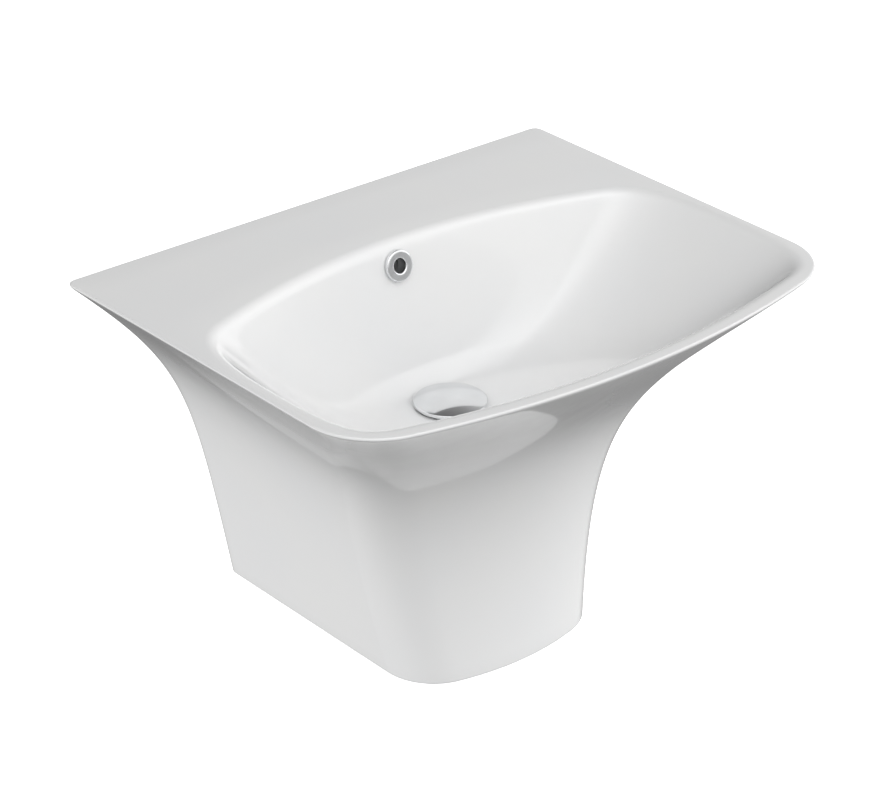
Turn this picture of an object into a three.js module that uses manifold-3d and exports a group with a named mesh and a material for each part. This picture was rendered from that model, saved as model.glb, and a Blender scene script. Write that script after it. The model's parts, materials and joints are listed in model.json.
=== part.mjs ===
// Wall-hung ceramic washbasin with a built-in half pedestal, its click-clack waste, its bottle
// trap and its wall fixings. Millimetres, +Z up. The wall is the plane y = 0 and the basin stands
// out of it along -Y. The origin lies on the wall side, halfway between the two fixing bolts.
import * as THREE from "three";
import { mergeVertices } from "three/addons/utils/BufferGeometryUtils.js";
import Module from "manifold-3d";

// ---------------------------------------------------------------- driving dimensions
const WIDTH = 560;
const DEPTH = 452;
const HEIGHT = 363;
const RIM_Z = 85; // the rim's top above the fixing bolts
const GAP = 0.3; // between pieces that touch
const ROUND = 28; // sides of the larger round pieces

const RIM_EDGE = 3; // thickness of the rim's outer edge
const WALL = 12; // ceramic thickness
const RIM_WALL = 18; // its thickness close under the rim
const RIM_WALL_END = 1 / 3; // share of the skirt where it is down to WALL
const BACK_RIB = { thick: 14, drop: 138 }; // the rib that the bolts clamp to the wall
const DECK_THICK = 14;

// The outside falls from the rim to the foot along two cubic curves that share their drops.
const SKIRT = {
  drop: [RIM_EDGE, 118, 145.5, HEIGHT],
  halfWidth: [WIDTH / 2, 160, 154, 111.5],
  depth: [DEPTH, 340, 278, 307],
};
const FRONT_BOW = [45, 24]; // rise of the curved front, at the rim and at the foot
const FRONT_CORNER = [70, 56]; // its corner radius, at the rim and at the foot
const BACK_CORNER = 8;

// The bowl's opening in plan: curved back and front edges, soft sides, and its drain.
const BOWL = { halfWidth: 268, back: -118.5, front: -437, widest: -290, depth: 137 };
const BACK_ARC = 597; // radius of the opening's back edge
const FRONT_ARC = 814; // radius of its front edge
const ARC_END = 225; // half-length of both arcs
const CORNER_REACH = 35; // how far the corners carry on along the arcs
const DRAIN = { y: -201, radius: 35 };
const SIDE_REACH = { back: 75, front: 85 }; // how far the soft sides carry on straight

const FLANGE = { radius: 31.5, thick: 2.4 };
const RECESS = { radius: 32, deep: 4.5 };
const WASTE_HOLE = 23;
const THREAD = 20.8; // outer radius of the waste's tube
const WASTE_BORE = 17.8;
const BOSS = { radius: 38, bottom: 176 };
const WASHER = 33; // outer radius of the washers under the basin
const UNION_NUT = 25; // outer radius of the trap's three nuts
const WASTE_END = 222;
const PLUG_LIFT = 9;
const PIPE = { outer: 16, inner: 14.5 };
const OUTLET_DROP = 282; // centre of the trap's outlet below the rim
const PIPE_INTO_WALL = 45;

const OVERFLOW = { drop: 22, outer: 15, bore: 7, proud: 4, seat: 0.8, tilt: 15 };
const BOLT = { x: 140, radius: 5, hole: 7, intoWall: 60, inside: 46 };

// ---------------------------------------------------------------- materials
const finish = (color, roughness, metalness) =>
  new THREE.MeshStandardMaterial({ color, roughness, metalness });
const ceramic = finish(0xf0f0f0, 0.12, 0);
const chrome = finish(0xd0d3d6, 0.08, 1);
const brass = finish(0xc2a15a, 0.35, 1);
const steel = finish(0xb4b7ba, 0.3, 1);
const rubber = finish(0x202020, 0.8, 0);
const plastic = finish(0xe6e6e2, 0.45, 0);

// ---------------------------------------------------------------- solids
const wasm = await Module();
wasm.setup();

function solid(geometry) {
  const bare = geometry.clone();
  bare.deleteAttribute("normal");
  bare.deleteAttribute("uv");
  const merged = mergeVertices(bare, 1e-3);
  return new wasm.Manifold(
    new wasm.Mesh({
      numProp: 3,
      vertProperties: merged.attributes.position.array,
      triVerts: new Uint32Array(merged.index.array),
    }),
  );
}

function geometryOf(body) {
  const mesh = body.getMesh();
  const geometry = new THREE.BufferGeometry();
  geometry.setAttribute("position", new THREE.BufferAttribute(mesh.vertProperties, 3));
  geometry.setIndex(new THREE.BufferAttribute(mesh.triVerts, 1));
  geometry.computeVertexNormals();
  return geometry;
}

const height = (drop) => RIM_Z - drop;
const mix = THREE.MathUtils.lerp;
const radians = THREE.MathUtils.degToRad;

// A closed body through rings of the same number of points, listed from the bottom up. Each
// ring runs anticlockwise seen from above.
function loft(rings) {
  const count = rings[0].length;
  const positions = rings.flat().flatMap((p) => [p.x, p.y, p.z]);
  const index = [];
  for (let level = 0; level + 1 < rings.length; level++) {
    for (let i = 0; i < count; i++) {
      const next = (i + 1) % count;
      const a = level * count;
      const b = a + count;
      index.push(a + i, a + next, b + next, a + i, b + next, b + i);
    }
  }
  const top = (rings.length - 1) * count;
  const flat = (ring) => ring.map((p) => new THREE.Vector2(p.x, p.y));
  for (const [i, j, k] of THREE.ShapeUtils.triangulateShape(flat(rings[0]), [])) {
    index.push(k, j, i);
  }
  for (const [i, j, k] of THREE.ShapeUtils.triangulateShape(flat(rings.at(-1)), [])) {
    index.push(top + i, top + j, top + k);
  }
  const geometry = new THREE.BufferGeometry();
  geometry.setAttribute("position", new THREE.Float32BufferAttribute(positions, 3));
  geometry.setIndex(index);
  return geometry;
}

// A body turned about the Z axis from [radius, height] corners. It closes on the axis, or on
// itself when it is a ring.
function turned(corners, segments = 20) {
  const onAxis = corners[0][0] === 0;
  const outline = corners.map(([r, z]) => new THREE.Vector2(r, z));
  if (THREE.ShapeUtils.area(outline) < 0) outline.reverse();
  if (!onAxis) outline.push(outline[0].clone());
  return new THREE.LatheGeometry(outline, segments).rotateX(Math.PI / 2);
}

const ring = (inner, outer, low, high) =>
  turned([[inner, low], [outer, low], [outer, high], [inner, high]]);

// A block as wide as the basin, centred on the wall plane, from the rim down to a drop.
function topBlock(depth, drop) {
  return solid(new THREE.BoxGeometry(WIDTH, depth, drop).translate(0, 0, height(drop / 2)));
}

const rod = (radius, low, high, segments = 20) =>
  turned([[0, low], [radius, low], [radius, high], [0, high]], segments);

function bezier(controls, t) {
  const s = 1 - t;
  const [a, b, c, d] = controls;
  return a * s * s * s + 3 * b * s * s * t + 3 * c * s * t * t + d * t * t * t;
}

// A full outline from its left half, which runs from the back's middle to the front's middle.
function mirrored(leftHalf) {
  const right = leftHalf.slice(1, -1).map((p) => new THREE.Vector2(-p.x, p.y));
  return [...leftHalf, ...right.reverse()];
}

const lift = (outline, z) => outline.map((p) => new THREE.Vector3(p.x, p.y, z));

const group = new THREE.Group();

function add(name, geometry, material, parent = group) {
  const mesh = new THREE.Mesh(geometry, material);
  mesh.name = name;
  parent.add(mesh);
  return mesh;
}

// ---------------------------------------------------------------- basin body
// Plan of the outside: straight back and sides, and a front arc of the given bow that meets
// the sides in round corners.
function outsidePlan(halfWidth, depth, bow, corner, back = 0) {
  const arc = (halfWidth * halfWidth + bow * bow) / (2 * bow);
  const arcY = arc - depth;
  const reach = arc - corner;
  const cornerX = -(halfWidth - corner);
  const cornerY = arcY - Math.sqrt(reach * reach - cornerX * cornerX);
  const turn = Math.atan2(cornerY - arcY, cornerX);
  const points = [new THREE.Vector2(0, back)];
  for (let i = 0; i <= 2; i++) {
    const angle = Math.PI / 2 + (i / 2) * (Math.PI / 2);
    const x = -(halfWidth - BACK_CORNER) + BACK_CORNER * Math.cos(angle);
    points.push(new THREE.Vector2(x, back - BACK_CORNER + BACK_CORNER * Math.sin(angle)));
  }
  for (let i = 0; i <= 7; i++) {
    const angle = mix(-Math.PI, turn, i / 7);
    const x = cornerX + corner * Math.cos(angle);
    points.push(new THREE.Vector2(x, cornerY + corner * Math.sin(angle)));
  }
  for (let i = 1; i <= 4; i++) {
    const angle = mix(turn, -Math.PI / 2, i / 4);
    points.push(new THREE.Vector2(arc * Math.cos(angle), arcY + arc * Math.sin(angle)));
  }
  return mirrored(points);
}

// One level of the skirt, t = 0 at the rim and 1 at the foot, drawn in by an inset.
function skirtLevel(t, inset = 0, back = 0) {
  return outsidePlan(
    bezier(SKIRT.halfWidth, t) - inset,
    bezier(SKIRT.depth, t) - inset,
    mix(FRONT_BOW[0], FRONT_BOW[1], t),
    mix(FRONT_CORNER[0], FRONT_CORNER[1], t) - inset,
    back,
  );
}

const LEVELS = [1, 0.9, 0.78, 0.64, 0.5, 0.4, 0.3, 0.22, 0.15, 0.09, 0.04, 0];

function outside() {
  const rings = LEVELS.map((t) => lift(skirtLevel(t), height(bezier(SKIRT.drop, t))));
  rings.push(lift(skirtLevel(0), height(0)));
  return solid(loft(rings));
}

// Plan of the bowl's opening, as two arcs joined by soft corners. Each corner leaves its arc
// along the arc's own slope.
function bowlPlan() {
  const { halfWidth, back, front, widest } = BOWL;
  const point = (x, y) => new THREE.Vector2(x, y);
  const backSlope = ARC_END / BACK_ARC;
  const frontSlope = ARC_END / FRONT_ARC;
  const backEnd = point(-ARC_END, back - (backSlope * ARC_END) / 2);
  const frontEnd = point(-ARC_END, front + (frontSlope * ARC_END) / 2);
  const side = point(-halfWidth, widest);
  const reach = CORNER_REACH;
  const backCorner = new THREE.CubicBezierCurve(
    backEnd, point(-ARC_END - reach, backEnd.y - backSlope * reach),
    point(-halfWidth, widest + SIDE_REACH.back), side,
  );
  const frontCorner = new THREE.CubicBezierCurve(
    side, point(-halfWidth, widest - SIDE_REACH.front),
    point(-ARC_END - reach, frontEnd.y + frontSlope * reach), frontEnd,
  );
  const points = [];
  for (let i = 0; i < 5; i++) {
    const x = (-ARC_END * i) / 5;
    points.push(point(x, back - (x * x) / (2 * BACK_ARC)));
  }
  points.push(...backCorner.getPoints(5).slice(0, -1));
  points.push(...frontCorner.getPoints(6).slice(0, -1));
  for (let i = 0; i <= 5; i++) {
    const x = -ARC_END * (1 - i / 5);
    points.push(point(x, front + (x * x) / (2 * FRONT_ARC)));
  }
  return mirrored(points);
}

// How far the bowl has closed in (1 at the opening, 0 at the drain) at a share of its depth.
// The sides and the front scoop in; the back wall stays steep down to a crease at the floor.
const SCOOP = { spread: [1, 0.62, 0.45, 0], fall: [0, 0.62, 1, 1] };
const CREASE = { fall: 0.86, spread: 0.32 };

function backSpread(fall) {
  if (fall < CREASE.fall) return mix(1, CREASE.spread, fall / CREASE.fall);
  return mix(CREASE.spread, 0, (fall - CREASE.fall) / (1 - CREASE.fall));
}

const backWall = (fall) => mix(DRAIN.y + DRAIN.radius, BOWL.back, backSpread(fall));

// The bowl as a solid, grown outwards and downwards by a thickness.
function bowl(grow = 0) {
  const plan = bowlPlan();
  const rings = [];
  for (const t of [1, 0.85, 0.74, 0.64, 0.54, 0.44, 0.34, 0.24, 0.14, 0.06, 0]) {
    const fall = bezier(SCOOP.fall, t);
    const spread = bezier(SCOOP.spread, t);
    const halfWidth = mix(DRAIN.radius, BOWL.halfWidth, spread) + grow;
    const back = backWall(fall) + grow;
    const front = mix(DRAIN.y - DRAIN.radius, BOWL.front, spread) - grow;
    const middle = mix(DRAIN.y, BOWL.widest, spread);
    const round = fall ** 4;
    const z = height((BOWL.depth + grow) * fall);
    rings.push(plan.map((p) => {
      const ux = p.x / BOWL.halfWidth;
      const behind = p.y > BOWL.widest;
      const edge = behind ? BOWL.back : BOWL.front;
      const uy = (p.y - BOWL.widest) / Math.abs(edge - BOWL.widest);
      const length = Math.hypot(ux, uy);
      const x = mix(ux, ux / length, round) * halfWidth;
      const y = mix(uy, uy / length, round);
      return new THREE.Vector3(x, middle + y * Math.abs((behind ? back : front) - middle), z);
    }));
  }
  const top = rings.at(-1).map((p) => new THREE.Vector3(p.x, p.y, height(-2)));
  return solid(loft([...rings, top]));
}

// A plate in the YZ plane, centred on x = 0, from [y, drop] corners.
function plate(corners, width) {
  const shape = new THREE.Shape(corners.map(([y, drop]) => new THREE.Vector2(y, height(drop))));
  const geometry = new THREE.ExtrudeGeometry(shape, { depth: width, bevelEnabled: false });
  geometry.translate(0, 0, -width / 2);
  geometry.applyMatrix4(new THREE.Matrix4().makeBasis(
    new THREE.Vector3(0, 1, 0), new THREE.Vector3(0, 0, 1), new THREE.Vector3(1, 0, 0),
  ));
  return solid(geometry);
}

// The overflow runs down a flat duct behind the bowl and under its floor to the waste.
const DUCT_INNER = [[-113, 12], [-139, 121], [-160, 147], [-190, 150]];
const DUCT_OUTER = [[-190, 163], [-153, 160], [-128, 125], [-99, 12]];
const DUCT_SKIN = [[-190, 172], [-148, 169], [-118, 129], [-89, 4]];
const DUCT_WIDTH = { inside: 32, outside: 52 };

// The overflow ring's face stands proud of the bowl's back wall, along the wall's normal.
const overflowLean = Math.PI / 2 - radians(OVERFLOW.tilt);
const overflowY = backWall(OVERFLOW.drop / BOWL.depth)
  - (OVERFLOW.proud + OVERFLOW.seat) / Math.sin(overflowLean);

function overflowBore(radius, low, high) {
  const geometry = rod(radius, low, high).rotateX(overflowLean);
  return solid(geometry.translate(0, overflowY, height(OVERFLOW.drop)));
}

function basinBody() {
  const pastWall = BACK_CORNER + 2;
  const rings = [lift(skirtLevel(1, WALL, pastWall), height(HEIGHT + 2))];
  for (const t of LEVELS.filter((level) => level > 0)) {
    const inset = mix(RIM_WALL, WALL, Math.min(1, t / RIM_WALL_END));
    rings.push(lift(skirtLevel(t, inset, pastWall), height(bezier(SKIRT.drop, t))));
  }
  let hollow = solid(loft(rings));
  hollow = hollow.subtract(bowl(WALL));
  const { thick, drop } = BACK_RIB;
  hollow = hollow.subtract(topBlock(2 * DEPTH, DECK_THICK)).subtract(topBlock(2 * thick, drop));
  const drainAt = (geometry) => solid(geometry.translate(0, DRAIN.y, 0));
  const boss = drainAt(rod(BOSS.radius, height(BOSS.bottom), height(BOWL.depth), ROUND));
  hollow = hollow.subtract(boss);
  hollow = hollow.subtract(plate([...DUCT_INNER, ...DUCT_SKIN], DUCT_WIDTH.outside));

  let body = outside().subtract(bowl()).subtract(hollow);
  body = body.subtract(plate([...DUCT_INNER, ...DUCT_OUTER], DUCT_WIDTH.inside));
  const recessFloor = height(BOWL.depth + RECESS.deep);
  body = body.subtract(drainAt(rod(RECESS.radius, recessFloor, height(BOWL.depth - 2), ROUND)));
  body = body.subtract(drainAt(rod(WASTE_HOLE, height(BOSS.bottom + 2), recessFloor + 1, ROUND)));
  body = body.subtract(overflowBore(11, -18, 10));
  for (const side of [-1, 1]) {
    const hole = rod(BOLT.hole, -5, thick + 5).rotateX(Math.PI / 2);
    body = body.subtract(solid(hole.translate(side * BOLT.x, 0, 0)));
  }
  return geometryOf(body);
}
add("basin_body", basinBody(), ceramic);

// ---------------------------------------------------------------- overflow
// The ring's axis points out of the bowl's back wall, so it is drawn about Z and tipped over.
function addOverflow() {
  const fitting = new THREE.Group();
  fitting.position.set(0, overflowY, height(OVERFLOW.drop));
  fitting.rotation.x = overflowLean;
  group.add(fitting);
  const { outer, bore, proud } = OVERFLOW;
  const face = turned([
    [bore, -12], [bore + 1, -12], [bore + 1, -proud], [outer, -proud],
    [outer, -0.8], [outer - 0.8, 0], [bore, 0],
  ], ROUND);
  add("overflow_ring", face, chrome, fitting);
  add("overflow_sleeve", ring(bore + 1 + GAP, 11 - GAP, -11, -proud - GAP), rubber, fitting);
}
addOverflow();

// ---------------------------------------------------------------- waste and plug
const waste = new THREE.Group();
waste.position.set(0, DRAIN.y, 0);
group.add(waste);

const FLANGE_TOP = BOWL.depth + 0.2;
const SPIDER = { top: 170, bottom: 182, outer: 10.5, inner: 8.3, arms: 3 };

function wasteBody() {
  const under = FLANGE_TOP + FLANGE.thick;
  let body = solid(turned([
    [WASTE_BORE, height(WASTE_END)], [THREAD, height(WASTE_END)],
    [THREAD, height(under)], [FLANGE.radius, height(under)],
    [FLANGE.radius, height(FLANGE_TOP + 1)], [FLANGE.radius - 1, height(FLANGE_TOP)],
    [22, height(FLANGE_TOP)], [WASTE_BORE, height(FLANGE_TOP + 5)],
  ], ROUND));
  for (let i = 0; i < 4; i++) {
    const window = new THREE.BoxGeometry(12, 14, 11).translate(0, THREAD, height(156.5));
    body = body.subtract(solid(window.rotateZ((i * Math.PI) / 2)));
  }
  const { top, bottom, outer, inner, arms } = SPIDER;
  body = body.add(solid(ring(inner, outer, height(bottom), height(top))));
  for (let i = 0; i < arms; i++) {
    const length = WASTE_BORE + 1 - outer + 1;
    const arm = new THREE.BoxGeometry(2.5, length, bottom - top - 2);
    arm.translate(0, outer - 1 + length / 2, height((top + bottom) / 2));
    body = body.add(solid(arm.rotateZ(((2 * i + 0.5) * Math.PI) / arms)));
  }
  return geometryOf(body);
}
add("waste_body", wasteBody(), chrome, waste);

const sealTop = FLANGE_TOP + FLANGE.thick + GAP;
const sealBottom = BOWL.depth + RECESS.deep - GAP;
add("waste_seal", ring(THREAD + GAP, RECESS.radius - 2, height(sealBottom), height(sealTop)),
  rubber, waste);

const TAPER = { top: BOSS.bottom + GAP, bottom: BOSS.bottom + 6 };
add("waste_taper_washer", turned([
  [THREAD + GAP, height(TAPER.bottom)], [WASHER, height(TAPER.bottom)],
  [WASHER, height(TAPER.bottom - 2)], [WASHER - 7, height(TAPER.top)],
  [THREAD + GAP, height(TAPER.top)],
]), rubber, waste);

const SLIP = { top: TAPER.bottom + GAP, bottom: TAPER.bottom + 1.5 };
add("waste_slip_washer", ring(THREAD + GAP, WASHER, height(SLIP.bottom), height(SLIP.top)),
  plastic, waste);

// A nut with flats, from the radius of its corners.
function hexNut(corner, bore, low, high) {
  const blank = solid(rod(corner, low, high, 6));
  return geometryOf(blank.subtract(solid(rod(bore, low - 1, high + 1))));
}
add("waste_locknut",
  hexNut(31, THREAD + GAP, height(SLIP.bottom + 9), height(SLIP.bottom + GAP)), brass, waste);

// The plug: a low dome on a stem that a click cartridge holds down or lets up.
const CAP = { radius: 34.5, under: 135.4, edge: 132.4, crown: 127.6 };

function plugCap() {
  const corners = [[0, height(CAP.under - 0.6)], [CAP.radius - 1.2, height(CAP.under - 0.6)]];
  corners.push([CAP.radius - 0.4, height(CAP.under)], [CAP.radius, height(CAP.edge + 1)]);
  for (let i = 0; i <= 5; i++) {
    const r = (CAP.radius - 0.6) * (1 - i / 5);
    const rise = 1 - (r / CAP.radius) ** 2;
    corners.push([r, height(mix(CAP.edge, CAP.crown, rise))]);
  }
  return turned(corners, ROUND);
}
add("plug_cap", plugCap(), chrome, waste);

const capFloor = CAP.under - 0.6 + GAP;
add("plug_seal", turned([
  [4.6, height(capFloor + 2.6)], [15, height(capFloor + 2.6)],
  [16.8, height(capFloor + 1.2)], [16.8, height(capFloor)], [4.6, height(capFloor)],
]), rubber, waste);

// The collar on the stem rises with the plug until the roof of the chamber stops it.
const COLLAR = { top: 184, bottom: 187, radius: 6.3 };
const CARTRIDGE = {
  top: 156, bottom: 200, outer: 8, neck: 4.5, chamber: 6.8, roof: COLLAR.top - PLUG_LIFT - GAP,
};

add("plug_stem", turned([
  [0, height(COLLAR.bottom)], [COLLAR.radius, height(COLLAR.bottom)],
  [COLLAR.radius, height(COLLAR.top)], [4, height(COLLAR.top)],
  [4, height(capFloor)], [0, height(capFloor)],
]), brass, waste);

const chamberFloor = CARTRIDGE.bottom - 3;
add("cartridge_body", turned([
  [0, height(CARTRIDGE.bottom)], [CARTRIDGE.outer, height(CARTRIDGE.bottom)],
  [CARTRIDGE.outer, height(CARTRIDGE.top)], [CARTRIDGE.neck, height(CARTRIDGE.top)],
  [CARTRIDGE.neck, height(CARTRIDGE.roof)], [CARTRIDGE.chamber, height(CARTRIDGE.roof)],
  [CARTRIDGE.chamber, height(chamberFloor)], [0, height(chamberFloor)],
]), plastic, waste);

class Helix extends THREE.Curve {
  constructor(radius, turns, low, high) {
    super();
    Object.assign(this, { radius, turns, low, high });
  }
  getPoint(t, target = new THREE.Vector3()) {
    const angle = 2 * Math.PI * this.turns * t;
    return target.set(
      this.radius * Math.cos(angle), this.radius * Math.sin(angle), mix(this.low, this.high, t),
    );
  }
}

function spring() {
  const wire = 0.5;
  const section = new THREE.Shape();
  section.absarc(0, 0, wire, 0, 2 * Math.PI);
  const low = height(chamberFloor) + wire + GAP;
  const high = height(COLLAR.bottom) - wire - GAP;
  return new THREE.ExtrudeGeometry(section, {
    extrudePath: new Helix(5.4, 5, low, high), steps: 50, curveSegments: 3, bevelEnabled: false,
  });
}
add("cartridge_spring", spring(), steel, waste);

// ---------------------------------------------------------------- trap
const TAIL = { washer: WASTE_END + GAP, flange: WASTE_END + 2.3, under: WASTE_END + 4.5 };
const DIP_END = 334;
add("tail_washer", ring(PIPE.inner, 20, height(TAIL.washer + 1.7), height(TAIL.washer)),
  rubber, waste);

add("trap_dip_tube", turned([
  [PIPE.inner, height(DIP_END)], [PIPE.outer, height(DIP_END)],
  [PIPE.outer, height(TAIL.under)], [19.8, height(TAIL.under)],
  [19.8, height(TAIL.flange)], [PIPE.inner, height(TAIL.flange)],
]), plastic, waste);

// A union nut: a wide bore over the thread and a narrow lip round the pipe. The mouth is the
// wide end; both ends are given as heights.
const NUT_LIP = 3;
function unionNut(mouth, end, bore, lip, outer) {
  const lipStart = end + Math.sign(mouth - end) * NUT_LIP;
  return turned([
    [bore, mouth], [outer, mouth], [outer, end], [lip, end], [lip, lipStart], [bore, lipStart],
  ]);
}
const pipeHole = PIPE.outer + 0.4;
add("tail_nut", unionNut(height(TAIL.under - 16), height(TAIL.under + 3.3),
  THREAD + GAP, pipeHole, UNION_NUT), plastic, waste);

const NECK = { top: 246, outer: 21 };
const BOTTLE = { top: 262, skirt: 315, outer: 28, inner: 25 };
const STUB = { end: 51, outer: 20 }; // the outlet stub, measured from the trap's axis

function trapBody() {
  let body = solid(turned([
    [0, height(BOTTLE.skirt)], [BOTTLE.outer, height(BOTTLE.skirt)],
    [BOTTLE.outer, height(BOTTLE.top + 3)], [BOTTLE.outer - 3, height(BOTTLE.top)],
    [NECK.outer, height(BOTTLE.top)], [NECK.outer, height(NECK.top)], [0, height(NECK.top)],
  ], ROUND));
  const along = (radius, from, to) =>
    solid(rod(radius, from, to).rotateX(-Math.PI / 2).translate(0, 0, height(OUTLET_DROP)));
  body = body.add(along(STUB.outer, 10, STUB.end));
  body = body.subtract(solid(rod(BOTTLE.inner, height(BOTTLE.skirt + 1), height(BOTTLE.top + 4),
    ROUND)));
  body = body.subtract(solid(rod(pipeHole, height(BOTTLE.top + 5), height(NECK.top - 1))));
  body = body.subtract(along(PIPE.inner, 10, STUB.end));
  body = body.subtract(along(pipeHole, 34, STUB.end + 1));
  return geometryOf(body);
}
add("trap_body", trapBody(), plastic, waste);

const INLET_NUT = { top: NECK.top - 8, mouth: NECK.top + 9 };
const inletLip = INLET_NUT.top + NUT_LIP + GAP;
add("trap_inlet_seal",
  ring(pipeHole, NECK.outer - 0.4, height(NECK.top - GAP), height(inletLip)), rubber, waste);
add("trap_inlet_nut", unionNut(height(INLET_NUT.mouth), height(INLET_NUT.top),
  NECK.outer + GAP, pipeHole, UNION_NUT), plastic, waste);

const CUP = { top: 303, grip: 33, gripEnd: 320, outer: 30, inner: 24.5, floor: 347, end: 350 };
const LEDGE = BOTTLE.skirt + 3.2;
add("trap_cup", turned([
  [0, height(CUP.end)], [CUP.outer - 4, height(CUP.end)], [CUP.outer, height(CUP.end - 4)],
  [CUP.outer, height(CUP.gripEnd)], [CUP.grip, height(CUP.gripEnd - 2)],
  [CUP.grip, height(CUP.top)], [BOTTLE.outer + 0.5, height(CUP.top)],
  [BOTTLE.outer + 0.5, height(LEDGE)], [CUP.inner, height(LEDGE)],
  [CUP.inner, height(CUP.floor)], [0, height(CUP.floor)],
], ROUND), plastic, waste);
add("trap_cup_seal", ring(CUP.inner, BOTTLE.outer, height(LEDGE - GAP),
  height(BOTTLE.skirt + GAP)), rubber, waste);

// The outlet pieces are drawn about Z and tipped so that +Z becomes +Y, towards the wall.
const outlet = new THREE.Group();
outlet.position.set(0, DRAIN.y, height(OUTLET_DROP));
outlet.rotation.x = -Math.PI / 2;
group.add(outlet);
const wallAt = -DRAIN.y;

add("trap_outlet_seal", ring(pipeHole, STUB.outer, STUB.end + GAP, STUB.end + 5), rubber,
  outlet);
add("trap_outlet_nut", unionNut(STUB.end - 8, STUB.end + 8.3, STUB.outer + GAP, pipeHole, UNION_NUT),
  plastic, outlet);
add("wall_pipe", ring(PIPE.inner, PIPE.outer, 36, wallAt + PIPE_INTO_WALL), plastic, outlet);
add("wall_rosette", turned([
  [pipeHole, wallAt - GAP], [35, wallAt - GAP], [35, wallAt - 2], [30, wallAt - 7],
  [20, wallAt - 10], [pipeHole, wallAt - 10],
], ROUND), plastic, outlet);

// ---------------------------------------------------------------- wall fixings
// Each bolt stands in the wall and passes the rib; a sleeve, a washer and a nut clamp it.
// They are drawn about Z and tipped so that +Z becomes -Y, away from the wall.
function addFixing(side, x) {
  const bolt = new THREE.Group();
  bolt.position.set(x, 0, 0);
  bolt.rotation.x = Math.PI / 2;
  group.add(bolt);
  const face = BACK_RIB.thick;
  add("fixing_stud_" + side, turned([
    [0, -BOLT.intoWall], [BOLT.radius - 3, -BOLT.intoWall + 2], [BOLT.radius, 8 - BOLT.intoWall],
    [BOLT.radius, BOLT.inside - 1], [BOLT.radius - 1, BOLT.inside], [0, BOLT.inside],
  ], 16), steel, bolt);
  const inner = BOLT.radius + GAP;
  add("fixing_sleeve_" + side, turned([
    [inner, 1], [BOLT.hole - GAP, 1], [BOLT.hole - GAP, face + GAP],
    [13, face + GAP], [13, face + 2.8], [inner, face + 2.8],
  ]), plastic, bolt);
  add("fixing_washer_" + side, ring(inner, 14, face + 3.1, face + 5.1), steel, bolt);
  add("fixing_nut_" + side, hexNut(9.8, inner, face + 5.4, face + 13.4), steel, bolt);
}
addFixing("left", -BOLT.x);
addFixing("right", BOLT.x);

export default group;
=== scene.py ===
"""The looks of a wall-hung washbasin with a half pedestal, its waste, trap and wall fixings.

The wall is the plane y = 0, the basin stands out of it along -Y, and +Z is up. Shapes are worked
out in millimetres and made into meshes in metres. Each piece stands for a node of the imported
CAD model, takes its place from that node's box, and rides on that node's body.
"""

import json
import math

import bmesh
import bpy
from mathutils import Matrix, Vector


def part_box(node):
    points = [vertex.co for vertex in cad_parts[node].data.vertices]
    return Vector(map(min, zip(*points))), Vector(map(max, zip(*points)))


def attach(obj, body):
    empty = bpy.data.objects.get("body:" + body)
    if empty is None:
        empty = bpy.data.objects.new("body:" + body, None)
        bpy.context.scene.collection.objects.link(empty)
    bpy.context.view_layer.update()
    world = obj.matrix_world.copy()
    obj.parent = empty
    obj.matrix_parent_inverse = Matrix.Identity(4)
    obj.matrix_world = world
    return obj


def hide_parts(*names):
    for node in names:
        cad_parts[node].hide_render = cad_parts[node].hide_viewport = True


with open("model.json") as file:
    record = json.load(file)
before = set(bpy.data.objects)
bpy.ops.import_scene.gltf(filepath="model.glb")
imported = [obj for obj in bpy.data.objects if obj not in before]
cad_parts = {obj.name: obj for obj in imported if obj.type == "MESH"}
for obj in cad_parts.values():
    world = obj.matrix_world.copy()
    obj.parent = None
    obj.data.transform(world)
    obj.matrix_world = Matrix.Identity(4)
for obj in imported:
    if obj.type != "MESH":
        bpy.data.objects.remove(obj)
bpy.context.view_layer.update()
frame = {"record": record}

MM = 0.001


def box(node):
    """A CAD node's lowest and highest corners, in millimetres."""
    low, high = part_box(node)
    return low / MM, high / MM


# ---------------------------------------------------------------- sizes of the ceramic
BASIN_LOW, BASIN_HIGH = box("basin_body")
WIDTH = BASIN_HIGH.x - BASIN_LOW.x
DEPTH = -BASIN_LOW.y
HEIGHT = BASIN_HIGH.z - BASIN_LOW.z
RIM_Z = BASIN_HIGH.z
WALL = 12
DECK_THICK = 14
RIB = {"thick": 14, "drop": 138}

RIM_EDGE = 3
RIM_ROUND = 1.7  # of the rim's outer edge
FOOT_ROUND = 2.5

# The outside falls from the rim to the foot along two cubic curves that share their drops.
SKIRT_DROP = (RIM_EDGE, 118, 145.5, HEIGHT)
SKIRT_HALF_WIDTH = (WIDTH / 2, 160, 154, 111.5)
SKIRT_DEPTH = (DEPTH, 340, 278, 307)
FRONT_BOW = (45, 24)  # rise of the curved front, at the rim and at the foot
FRONT_CORNER = (70, 56)
BACK_CORNER = 8

BOWL = {"half_width": 268, "back": -118.5, "front": -437, "widest": -290, "depth": 137}
BACK_ARC = 597
FRONT_ARC = 814
ARC_END = 225
CORNER_REACH = 35
SIDE_REACH = {"back": 75, "front": 85}  # how far the soft sides carry on straight
EDGE_ROUND = {"back": 9, "front": 7}  # of the bowl's edge
DRAIN_Y = (box("plug_cap")[0].y + box("plug_cap")[1].y) / 2
DRAIN_RADIUS = 35
SCOOP_SPREAD = (1, 0.62, 0.45, 0)
SCOOP_FALL = (0, 0.62, 1, 1)
CREASE = {"fall": 0.86, "spread": 0.32, "soft": 0.03}

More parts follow.
